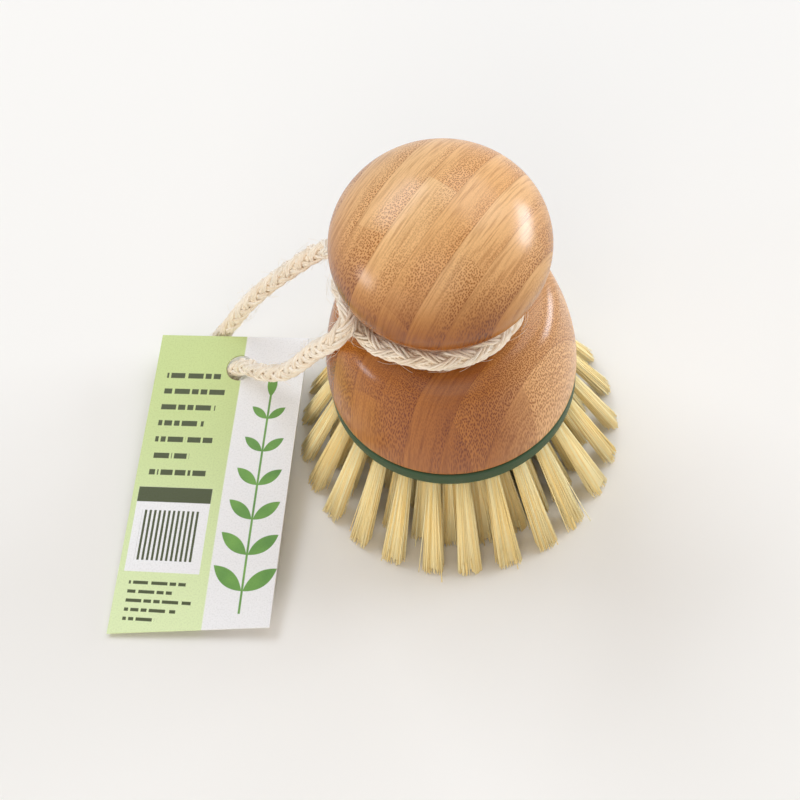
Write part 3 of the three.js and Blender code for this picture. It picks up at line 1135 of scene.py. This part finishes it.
@dataclass
class Cord:
    """The cord: tied round the waist, crossed at the left, and out to a loop that carries the tag."""

    diameter: float = 4.6 * MM
    step: float = 0.95 * MM
    hair_count: int = 600
    seed: int = 11
    clearance: float = 0.05 * MM
    path_step: int = 4
    bend_start: Triple = (-21.5 * MM, 3.0 * MM, 63.2 * MM)
    bend_end: Triple = (-25.0 * MM, 3.0 * MM, 57.2 * MM)
    route_mm: tuple[Triple, ...] = (
        (6.3, 22.8, 66.9), (9.2, 22.2, 66.7), (12.4, 15.4, 65.5), (15.2, 6.3, 65), (15.9, -2.6, 65),
        (12.7, -10.7, 65), (5.6, -16.4, 65), (-3.5, -17.5, 65), (-11.3, -14.4, 64.9), (-17.3, -9.9, 64.5),
        (-20, -3.9, 64.4), (-21.5, 1.1, 64.1), (-22.1, 6.8, 63.5), (-21.5, 12.7, 62.7), (-23.2, 19.2, 60.4),
        (-26.6, 22.4, 55.8), (-31.9, 25.6, 48), (-40.2, 29.9, 36), (-48.8, 34.8, 21), (-55.4, 37.4, 8.8),
        (-60.4, 36, 4), (-63, 31.2, 2.7), (-61.6, 26.4, 2.7), (-57.6, 24.6, 3.9), (-54, 24.4, 8.1),
        (-51.3, 21.6, 12.4), (-46.8, 15.8, 18), (-40.6, 9.4, 27), (-34.4, 3.4, 40.5), (-30, -1.6, 52.5),
        (-27.3, -5.7, 60.3), (-24.8, -8.1, 66), (-21.9, -6.9, 69), (-20.9, -1.3, 69.5), (-19.2, 4.1, 68.5),
        (-16.8, 8.6, 67.1), (-14.6, 13.2, 66.6), (-9.2, 22.2, 66.7), (-6.3, 22.8, 66.9),
    )
    plait: Plait = field(default_factory=Plait)

    def build(self, finish: bpy.types.Material) -> bpy.types.Object:
        """Make the cord as one piece.

        Args:
            finish: The cord's material.

        Returns:
            The cord.
        """
        self.route = Route([Vector(point) * MM for point in self.route_mm], self.step)
        chance = random.Random(self.seed)
        threads = self.plait.strands(self.route, chance)
        threads += self.plait.hairs(self.route, self.hair_count, chance)
        for thread in threads:
            for point in thread.points:
                point.z = max(point.z, self.clearance)
        made = piece("plaited_cord", threads_mesh("plaited_cord", threads, 1), finish)
        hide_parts("cord_waist_turn", "cord_cross_over", "cord_hanging_loop")
        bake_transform(made, Body.NECK.value, Body.LOOP.value, self.bend_start, self.bend_end)
        return made

    def declare(self, cord: bpy.types.Object) -> None:
        """Read the first point of the cord's route, and nothing more.

        Args:
            cord: The cord; not used.
        """
        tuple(self.route.points[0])


@dataclass
class Knot:
    """The knot behind the waist: a few turns of cord, with two short frayed ends."""

    turns: float = 2.6
    coil_radius: float = 2.5 * MM
    half_length: float = 5.6 * MM
    coil_steps: int = 32
    coil_close: float = 7.0
    tail_mm: tuple[Triple, ...] = ((1.0, 1.0, -1.5), (2.2, 4.6, -3.4), (3.4, 7.4, -6.6), (4.0, 8.8, -11.0))
    fray_count: int = 60
    fray_radius: float = 0.05 * MM
    fray_sink: float = 1.0 * MM
    fray_circle: float = 1.2 * MM
    fray_length: Pair = (1.5 * MM, 3.6 * MM)
    fray_spread: Pair = (0.1, 0.6)
    fray_shares: tuple[float, ...] = (0.0, 0.4, 0.7, 1.0)
    hair_count: int = 40
    step: float = 0.8 * MM
    seed: int = 23
    plait: Plait = field(default_factory=lambda: Plait(
        circle=1.14 * MM, wave=0.27 * MM, pitch=16.0 * MM, yarn_spread=0.46 * MM, yarn_rise=0.18 * MM,
        yarn_radius=0.29 * MM, yarn_pitch=7.0 * MM, core_radius=1.25 * MM))

    def build(self, finish: bpy.types.Material) -> bpy.types.Object:
        """Make the knot where its node is.

        Args:
            finish: The cord's material.

        Returns:
            The knot.
        """
        low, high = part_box("cord_knot")
        middle = (low + high) / 2
        chance = random.Random(self.seed)
        threads = []
        for points in (self.coil(middle), self.tail(middle, -1), self.tail(middle, 1)):
            route = Route(points, self.step)
            threads += self.plait.strands(route, chance)
            threads += self.plait.hairs(route, self.hair_count, chance)
            threads += self.fray(route, chance)
        made = piece("cord_tied_knot", threads_mesh("cord_tied_knot", threads, 1), finish)
        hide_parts("cord_knot")
        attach(made, Body.NECK.value)
        return made

    def coil(self, middle: Vector) -> list[Vector]:
        """Wind the turns of the knot about the line of the cord.

        Args:
            middle: The knot's middle.

        Returns:
            The points of the turns.
        """
        points = []
        for number in range(self.coil_steps + 1):
            share = number / self.coil_steps
            angle = 2 * math.pi * self.turns * share
            radius = self.coil_radius * min(1.0, self.coil_close * share, self.coil_close * (1 - share))
            along = (2 * share - 1) * self.half_length
            points.append(middle + Vector((along, radius * math.cos(angle), radius * math.sin(angle))))
        return points

    def tail(self, middle: Vector, side: int) -> list[Vector]:
        """Lead one end of the cord out of the knot, back and down."""
        return [middle + Vector((side * x, y, z)) * MM for x, y, z in self.tail_mm]

    def fray(self, route: Route, chance: random.Random) -> list[Thread]:
        """Spread loose fibres from the end of a route.

        Args:
            route: The route.
            chance: The source of their places, lengths and tints.

        Returns:
            One thread for each fibre.
        """
        tangent = route.frames[-1][0]
        made = []
        for _ in range(self.fray_count):
            out = route.outward(-1, chance.uniform(0, 2 * math.pi))
            start = route.points[-1] - tangent * self.fray_sink + out * chance.uniform(0, self.fray_circle)
            length = chance.uniform(*self.fray_length)
            spread = chance.uniform(*self.fray_spread)
            points = [start + length * (tangent * t + out * spread * t * t) for t in self.fray_shares]
            made.append(Thread(points, [self.fray_radius] * len(points), chance.random()))
        return made


@dataclass
class Tag:
    """The card tag, with a round hole near its upper edge and a slight curl."""

    hole_radius: float = 3.65 * MM
    above: float = 9.2 * MM
    left: float = 22.9 * MM
    right: float = 17.6 * MM
    left_length: float = 82.0 * MM
    right_length: float = 78.0 * MM
    thickness: float = 0.5 * MM
    lean: Triple = (5.0, -3.0, -14.8)
    hole_steps: int = 48
    cell: float = 3.2 * MM
    bow: float = 0.9 * MM
    bow_flat: float = 0.4
    corner_lift: float = 1.6 * MM
    corner_start: float = 0.55
    upward: float = 0.5

    def build(self, printed: bpy.types.Material, plain: bpy.types.Material) -> bpy.types.Object:
        """Make the tag where its node is.

        Args:
            printed: The finish of the printed face.
            plain: The finish of the back and the cut edges.

        Returns:
            The tag.
        """
        shape = self.sheet()
        self.map_print(shape)
        for point in shape.verts:
            point.co.z += self.curl(point.co.x, point.co.y)
        bmesh.ops.solidify(shape, geom=shape.faces[:], thickness=self.thickness)
        bmesh.ops.recalc_face_normals(shape, faces=shape.faces[:])
        for face in shape.faces:
            face.material_index = 0 if face.normal.z > self.upward else 1
        hole = next(joint["pos_m"] for joint in frame["joints"] if joint["name"] == "tag_turn")
        turn = Euler([math.radians(angle) for angle in self.lean], "XYZ").to_matrix().to_4x4()
        bmesh.ops.transform(shape, matrix=Matrix.Translation(hole) @ turn, verts=shape.verts[:])
        made = piece("card_tag", mesh_of(shape, "card_tag"), printed, plain)
        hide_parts("hang_tag")
        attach(made, Body.TAG.value)
        return made

    def sheet(self) -> bmesh.types.BMesh:
        """Cut the flat sheet with its hole, in small cells.

        Returns:
            The sheet.
        """
        shape = bmesh.new()
        bmesh.ops.create_circle(shape, segments=self.hole_steps, radius=self.hole_radius)
        corners = [
            (-self.left, self.above), (-self.left, self.above - self.left_length),
            (self.right, self.above - self.right_length), (self.right, self.above),
        ]
        points = [shape.verts.new((x, y, 0.0)) for x, y in corners]
        for first, second in zip(points, points[1:] + points[:1]):
            shape.edges.new((first, second))
        bmesh.ops.triangle_fill(shape, use_beauty=True, edges=shape.edges[:], normal=(0, 0, 1))
        spans = ((-self.left, self.right), (self.above - self.left_length, self.above))
        for axis, (low, high) in enumerate(spans):
            count = round((high - low) / self.cell)
            for number in range(1, count):
                cut = Vector((0.0, 0.0, 0.0))
                cut[axis] = low + (high - low) * number / count
                normal = Vector((0.0, 0.0, 0.0))
                normal[axis] = 1.0
                everything = shape.verts[:] + shape.edges[:] + shape.faces[:]
                bmesh.ops.bisect_plane(shape, geom=everything, dist=MERGE, plane_co=cut, plane_no=normal)
        return shape

    def map_print(self, shape: bmesh.types.BMesh) -> None:
        """Give the sheet a map of the print: its lower left corner is at zero, and its length is one.

        Args:
            shape: The flat sheet.
        """
        layer = shape.loops.layers.uv.new("print")
        for face in shape.faces:
            for loop in face.loops:
                x = (loop.vert.co.x + self.left) / self.left_length
                y = (loop.vert.co.y + self.left_length - self.above) / self.left_length
                loop[layer].uv = (x, y)

    def curl(self, x: float, y: float) -> float:
        """Bow the card a little, and lift its lower left corner.

        Args:
            x: The place to the right of the hole.
            y: The place above the hole.

        Returns:
            How far the card stands off its flat plane there.
        """
        down = max(0.0, -y - self.hole_radius) / self.left_length
        side = x / self.left
        corner = max(0.0, down - self.corner_start) * max(0.0, -side)
        bow = math.sin(math.pi * down) * (1 - self.bow_flat * side * side)
        return self.bow * bow + self.corner_lift * corner


@dataclass
class Handle:
    """The turned bamboo handle: a dome, a waist and an egg-shaped knob."""

    edge: float = 1.0 * MM
    dome_side_height: float = 43.0 * MM
    dome_turn: Pair = (27.4 * MM, 50.5 * MM)
    shoulder: Pair = (25.4 * MM, 56.6 * MM)
    shoulder_turn: Pair = (24.2 * MM, 60.2 * MM)
    shoulder_run: float = 5.6 * MM
    waist_radius: float = 13.4 * MM
    cord_circle: float = 16.0 * MM
    cord_height: float = 65.0 * MM
    cove: float = 2.7 * MM
    knob_radius: float = 23.2 * MM
    knob_half_height: float = 18.4 * MM
    edge_pull: float = 0.45
    edge_steps: int = 6
    dome_steps: int = 22
    shoulder_steps: int = 16
    cove_steps: int = 8
    knob_steps: int = 48
    turn_steps: int = 144

    def outline(self) -> list[Vector]:
        """Draw the outline of radius and height.

        Returns:
            The points, from the middle of the underside to the crown.
        """
        low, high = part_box("bamboo_handle")
        radius, bottom = high.x, low.z
        below = self.cord_height - self.cove
        pull = self.edge_pull * self.edge
        start = (radius - self.edge, bottom)
        end = (radius, bottom + self.edge)
        edge = bezier([start, (radius - pull, bottom), (radius, bottom + pull), end], self.edge_steps)
        side = (radius, self.dome_side_height)
        dome = bezier([end, side, self.dome_turn, self.shoulder], self.dome_steps)
        flat = [(self.cord_circle + self.shoulder_run, below), (self.cord_circle, below)]
        shoulder = bezier([self.shoulder, self.shoulder_turn, *flat], self.shoulder_steps)
        hollow = (self.cord_circle - self.waist_radius, self.cove)
        waist = arc((self.cord_circle, self.cord_height), hollow, -math.pi / 2, -math.pi, self.cove_steps)
        first = -math.acos(self.waist_radius / self.knob_radius)
        middle = (0.0, high.z - self.knob_half_height)
        knob = arc(middle, (self.knob_radius, self.knob_half_height), first, math.pi / 2, self.knob_steps)
        knob[-1].x = 0.0
        return [Vector((0.0, 0.0, bottom)), *edge, *dome[1:], *shoulder[1:], *waist[1:], *knob]

    def build(self, finish: bpy.types.Material) -> bpy.types.Object:
        """Turn the handle.

        Args:
            finish: The bamboo's material.

        Returns:
            The handle.
        """
        shape = spun(self.outline(), self.turn_steps)
        made = piece("turned_handle", mesh_of(shape, "turned_handle"), finish)
        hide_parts("bamboo_handle")
        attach(made, Body.BRUSH.value)
        return made


@dataclass(frozen=True)
class TuftRow:
    """One ring of tufts: its node, its counts, and where the tufts leave the plate and meet the surface."""

    node: str
    tufts: int
    skin_fibres: int
    end_fibres: int
    root: float
    tip: float
    turn: float


@dataclass
class Tuft:
    """One tuft: a fan of fibres, round where it leaves the plate and nearly square at its tips."""

    row: TuftRow
    angle: float
    height: float
    sway: float
    breadth: float
    root_spread: float = 1.45 * MM
    tip_spread_along: float = 2.6 * MM
    tip_spread_out: float = 1.5 * MM
    squareness: float = 0.55

    def ends(self, x: float, y: float) -> tuple[Vector, Vector]:
        """Find the ends of the fibre at a place in the tuft's section.

        Args:
            x: The place along the direction away from the brush's axis, in a circle of radius one.
            y: The place along the row, in the same circle.

        Returns:
            The fibre's root on the plate and its tip on the surface.
        """
        out = on_circle(1.0, self.angle, 0.0)
        side = Vector((-out.y, out.x, 0.0))
        root = out * (self.row.root + x * self.root_spread) + side * (y * self.root_spread)
        root.z = self.height
        radius = max(math.hypot(x, y), 1e-9)
        wide_x, wide_y = (math.copysign(abs(v / radius) ** self.squareness, v) * radius for v in (x, y))
        tip = out * (self.row.tip + wide_x * self.tip_spread_out)
        return root, tip + side * (self.sway + wide_y * self.tip_spread_along * self.breadth)


@dataclass
class Bristles:
    """The rows of bristle tufts, splayed out from the plate."""

    first_angle: float = -94.9
    tuft_sway: float = 0.35 * MM
    tuft_breadth: Pair = (0.85, 1.12)
    fibre_radius: float = 0.135 * MM
    fibre_uneven: Pair = (0.8, 1.15)
    fibre_taper: float = 0.9
    fibre_bend: float = 0.06 * MM
    sink: float = 0.8 * MM
    tip_height: float = 0.12 * MM
    tip_uneven: float = 1.5 * MM
    tip_usual: float = 0.15
    loose: float = 0.16 * MM
    stray: float = 0.9 * MM
    stray_share: float = 0.07
    skin_turn: float = 0.35
    skin_radius: Pair = (0.92, 1.02)
    end_radius: float = 0.94
    end_start: float = 0.86
    core_sides: int = 20
    core_share: float = 0.92
    core_end: float = 0.93
    core_tint: float = 0.45
    seed: int = 5
    rows: tuple[TuftRow, ...] = (
        TuftRow("outer_tufts", 25, 64, 70, 26.2 * MM, 39.9 * MM, 0.0),
        TuftRow("second_tufts", 25, 56, 56, 21.3 * MM, 32.2 * MM, 0.5),
        TuftRow("third_tufts", 18, 50, 56, 16.1 * MM, 24.0 * MM, 0.25),
        TuftRow("inner_tufts", 12, 50, 56, 10.4 * MM, 16.0 * MM, 0.5),
    )

    def build(self, finish: bpy.types.Material) -> Iterator[bpy.types.Object]:
        """Make each row as a piece.

        Args:
            finish: The bristles' material.

        Returns:
            The rows, from the outer one to the inner one.
        """
        chance = random.Random(self.seed)
        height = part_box("bristle_plate")[0].z
        for row in self.rows:
            tufts = []
            for angle in self.angles(row):
                sway = chance.gauss(0, self.tuft_sway)
                tufts.append(Tuft(row, angle, height, sway, chance.uniform(*self.tuft_breadth)))
            name = row.node + "_fibres"
            mesh = threads_mesh(name, [fibre for tuft in tufts for fibre in self.fibres(tuft, chance)], 0)
            shape = bmesh.new()
            shape.from_mesh(mesh)
            for tuft in tufts:
                self.core(shape, tuft)
            bmesh.ops.recalc_face_normals(shape, faces=shape.faces[:])
            shape.to_mesh(mesh)
            shape.free()
            made = piece(name, mesh, finish)
            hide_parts(row.node)
            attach(made, Body.BRUSH.value)
            yield made

    def angles(self, row: TuftRow) -> list[float]:
        """Return the angle of each tuft in a row, in radians."""
        step = 360 / row.tufts
        return [math.radians(self.first_angle + (number + row.turn) * step) for number in range(row.tufts)]

    def fibres(self, tuft: Tuft, chance: random.Random) -> Iterator[Thread]:
        """Make the fibres that show: whole ones round the tuft, and the ends of those inside it.

        Args:
            tuft: The tuft.
            chance: The source of its unevenness.

        Returns:
            One thread for each fibre.
        """
        for number in range(tuft.row.skin_fibres):
            place = number + chance.uniform(-self.skin_turn, self.skin_turn)
            angle = 2 * math.pi * place / tuft.row.skin_fibres
            radius = chance.uniform(*self.skin_radius)
            ends = tuft.ends(radius * math.cos(angle), radius * math.sin(angle))
            yield self.fibre(*ends, 0.0, chance)
        for number in range(tuft.row.end_fibres):
            angle = number * GOLDEN_ANGLE
            radius = self.end_radius * math.sqrt((number + 0.5) / tuft.row.end_fibres)
            ends = tuft.ends(radius * math.cos(angle), radius * math.sin(angle))
            yield self.fibre(*ends, self.end_start, chance)

    def fibre(self, root: Vector, tip: Vector, start: float, chance: random.Random) -> Thread:
        """Draw one fibre, slightly bent and of its own length.

        Args:
            root: Where it leaves the plate.
            tip: Where it meets the surface.
            start: The share of its length at which it comes into view, or zero to start inside the plate.
            chance: The source of its bend, length and tint.

        Returns:
            The fibre.
        """
        first = start or -self.sink / root.z
        cut = self.tip_height + self.tip_uneven * chance.triangular(0.0, 1.0, self.tip_usual)
        stray = chance.random() < self.stray_share and not start
        end = root.lerp(tip, 1 - cut / root.z) + self.nudge(self.stray if stray else self.loose, chance)
        bend = self.nudge(self.fibre_bend, chance)
        points = [root.lerp(end, first), root.lerp(end, (1 + first) / 2) + bend, end]
        thick = self.fibre_radius * chance.uniform(*self.fibre_uneven)
        return Thread(points, [thick, thick, self.fibre_taper * thick], chance.random())

    @staticmethod
    def nudge(size: float, chance: random.Random) -> Vector:
        """Return a small level step in a random direction."""
        return Vector((chance.gauss(0, size), chance.gauss(0, size), 0.0))

    def core(self, shape: bmesh.types.BMesh, tuft: Tuft) -> None:
        """Fill the middle of a tuft, where the fibres lie too close to be told apart.

        Args:
            shape: The row's shape.
            tuft: The tuft.
        """
        made = bmesh.ops.create_cone(shape, cap_ends=True, segments=self.core_sides, radius1=1.0,
                                     radius2=1.0, depth=2.0)
        layers = shape.verts.layers.float
        for vert in made["verts"]:
            root, tip = tuft.ends(self.core_share * vert.co.x, self.core_share * vert.co.y)
            share = self.core_end if vert.co.z < 0 else -self.sink / tuft.height
            vert.co = root.lerp(tip, share)
            vert[layers["tint"]] = self.core_tint
            vert[layers["along"]] = max(0.0, share)
            for face in vert.link_faces:
                face.smooth = True


@dataclass
class Plate:
    """The round green plate that holds the tufts, with a small collar round each tuft's hole."""

    bevel: float = 0.45 * MM
    bevel_steps: int = 4
    rim_angle: float = 1.0
    thickness: float = 4.4 * MM
    collar_sides: int = 18
    collar_radius: float = 1.95 * MM
    collar_width: float = 0.45 * MM
    collar_height: float = 0.35 * MM
    collar_sink: float = 0.1 * MM
    lip_width: float = 0.15 * MM
    lip_depth: float = 0.3 * MM
    downward: float = -0.9
    turn_steps: int = 144

    def build(self, finish: bpy.types.Material, bristles: Bristles) -> bpy.types.Object:
        """Make the plate.

        Args:
            finish: The plate's material.
            bristles: The bristles, for the places of the holes.

        Returns:
            The plate.
        """
        low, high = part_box("bristle_plate")
        radius, bottom = high.x, low.z
        top = bottom + self.thickness
        outline = [Vector((r, 0, z)) for r, z in ((0, bottom), (radius, bottom), (radius, top), (0, top))]
        shape = spun(outline, self.turn_steps)
        rims = [edge for edge in shape.edges if edge.calc_face_angle(0.0) > self.rim_angle]
        bmesh.ops.bevel(shape, geom=rims, offset=self.bevel, segments=self.bevel_steps, profile=0.5,
                        affect="EDGES", material=-1)
        for row in bristles.rows:
            for angle in bristles.angles(row):
                self.collar(shape, on_circle(row.root, angle, bottom))
        made = piece("moulded_plate", mesh_of(shape, "moulded_plate"), finish)
        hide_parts("bristle_plate")
        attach(made, Body.BRUSH.value)
        return made

    def collar(self, shape: bmesh.types.BMesh, centre: Vector) -> None:
        """Raise a collar on the underside round a hole.

        Args:
            shape: The plate.
            centre: The hole's centre.
        """
        place = Matrix.Translation(centre + Vector((0.0, 0.0, self.collar_sink)))
        flip = place @ Matrix.Rotation(math.pi, 4, "X")
        made = bmesh.ops.create_cone(shape, cap_ends=True, segments=self.collar_sides,
                                     radius1=self.collar_radius,
                                     radius2=self.collar_radius - self.collar_width,
                                     depth=2 * self.collar_height, matrix=flip)
        faces = {face for vert in made["verts"] for face in vert.link_faces}
        caps = [face for face in faces if face.normal.z < self.downward]
        bmesh.ops.inset_region(shape, faces=caps, thickness=self.lip_width, depth=-self.lip_depth)


@dataclass(frozen=True)
class Softbox:
    """One soft lamp that faces the brush.

    Its direction is in degrees, and its distance and size are in metres. A lamp that isn't mirrored gives
    light, but no highlight.
    """

    name: str
    azimuth: float
    elevation: float
    distance: float
    width: float
    height: float
    watts: float
    colour: Triple = (1.0, 1.09, 1.22)
    mirrored: bool = True

    def build(self, aim: Vector) -> None:
        """Hang the lamp.

        Args:
            aim: The point that it faces.
        """
        lamp = bpy.data.lights.new(self.name, "AREA")
        lamp.shape = "RECTANGLE"
        lamp.size = self.width
        lamp.size_y = self.height
        lamp.energy = self.watts
        lamp.color = self.colour
        holder = bpy.data.objects.new(self.name, lamp)
        angle = math.radians(self.elevation)
        away = on_circle(math.cos(angle), math.radians(self.azimuth), math.sin(angle))
        holder.location = aim + away * self.distance
        holder.rotation_euler = away.to_track_quat("Z", "Y").to_euler()
        holder.visible_camera = False
        holder.visible_glossy = self.mirrored
        bpy.context.scene.collection.objects.link(holder)


@dataclass
class Studio:
    """The camera, the lamps and the pale floor."""

    focal_length: float = 58.5
    sensor: float = 36.0
    eye: Triple = (-13.6 * MM, -156.0 * MM, 301.2 * MM)
    right: Triple = (0.98511, -0.15037, -0.08335)
    up: Triple = (0.17193, 0.86160, 0.47759)
    back: Triple = (0.0, -0.48481, 0.87462)
    floor_size: float = 3.0
    floor_colour: Colour = rgb(250, 247, 242)
    floor_roughness: float = 0.9
    floor_fade_mm: Pair = (250.0, 900.0)
    sky_colour: Colour = (1.0, 0.91, 0.8, 1.0)
    sky_strength: float = 0.32
    aim: Triple = (0.0, 0.0, 50.0 * MM)
    lamps: tuple[Softbox, ...] = (
        Softbox("window_behind_left", 125, 48, 2.5, 1.8, 0.95, 21.0),
        Softbox("window_behind_right", 40, 50, 2.5, 2.2, 1.7, 18.0),
        Softbox("window_front", -100, 46, 2.5, 1.8, 1.8, 8.5, (1.0, 0.95, 0.87)),
        Softbox("fill_front", -120, 11, 2.5, 2.4, 0.8, 20.0, (1.0, 0.94, 0.84), False),
        Softbox("window_right", 11, 10, 2.5, 1.3, 0.75, 32.0),
        Softbox("window_left", -172, 5, 2.5, 0.6, 0.6, 7.5),
    )

    def camera(self) -> None:
        """Set the camera at the photograph's viewpoint."""
        lens = bpy.data.cameras.new("camera")
        lens.lens = self.focal_length
        lens.sensor_width = self.sensor
        holder = bpy.data.objects.new("camera", lens)
        turn = Matrix((self.right, self.up, self.back)).transposed().to_4x4()
        holder.matrix_world = Matrix.Translation(self.eye) @ turn
        bpy.context.scene.collection.objects.link(holder)
        bpy.context.scene.camera = holder

    def light(self) -> None:
        """Light the brush, and set plain colours."""
        bpy.context.scene.view_settings.view_transform = "Standard"
        bpy.context.scene.world = self.room()
        for lamp in self.lamps:
            lamp.build(Vector(self.aim))

    def room(self) -> bpy.types.World:
        """Make the soft light all round, with a backdrop in the floor's colour.

        Returns:
            The world.
        """
        world = bpy.data.worlds.new("soft_room")
        graph = Graph("soft_room", world)
        graph.plug(graph.shader.inputs["Color"], self.sky_colour)
        graph.plug(graph.shader.inputs["Strength"], self.sky_strength)
        backdrop = graph.node("Background", {"Color": self.floor_colour, "Strength": 1.0})
        graph.cover(graph.looked_at(), backdrop.outputs[0])
        return world

    def floor(self) -> None:
        """Lay the pale floor, which runs into the backdrop far from the brush."""
        shape = bmesh.new()
        bmesh.ops.create_grid(shape, x_segments=1, y_segments=1, size=self.floor_size)
        graph = Graph("pale_floor")
        graph.finish(Base_Color=self.floor_colour, Roughness=self.floor_roughness)
        reach = graph.node("VectorMath", {0: graph.place()}, operation="LENGTH").outputs["Value"]
        far = graph.times(graph.step(reach, *self.floor_fade_mm), graph.looked_at())
        backdrop = graph.node("Emission", {"Color": self.floor_colour, "Strength": 1.0})
        graph.cover(far, backdrop.outputs[0])
        piece("floor", mesh_of(shape, "floor"), graph.material)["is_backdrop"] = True


def write_sizes() -> None:
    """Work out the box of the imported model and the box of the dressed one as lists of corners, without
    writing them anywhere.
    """
    boxes = {"cad": CAD_BOX, "visual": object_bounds()}
    plain = {name: [list(corner) for corner in box] for name, box in boxes.items()}


def main() -> None:
    """Build the brush piece by piece, and report each one."""
    logging.basicConfig(level=logging.INFO, format="%(name)s: %(message)s")
    studio = Studio()
    studio.camera()
    rope = CordFinish().material()
    cord = Cord()
    line = cord.build(rope)
    knot = Knot().build(rope)
    card = CardFinish()
    tag = Tag().build(card.printed(), card.plain())
    cord.declare(line)
    bristles = Bristles()
    pieces = [line, knot, tag, Handle().build(BambooFinish().material())]
    pieces.append(Plate().build(PlateFinish().material(), bristles))
    pieces += bristles.build(BristleFinish().material())
    screw = frame["nodes"]["plate_screw"]
    screw.data.materials.clear()
    screw.data.materials.append(SteelFinish().material())
    for made in pieces:
        LOG.info("%s: %d faces", made.name, len(made.data.polygons))
    LOG.info("cord length: %.1f mm", cord.route.length / MM)
    studio.light()
    studio.floor()
    write_sizes()


if __name__ == "__main__":
    main()
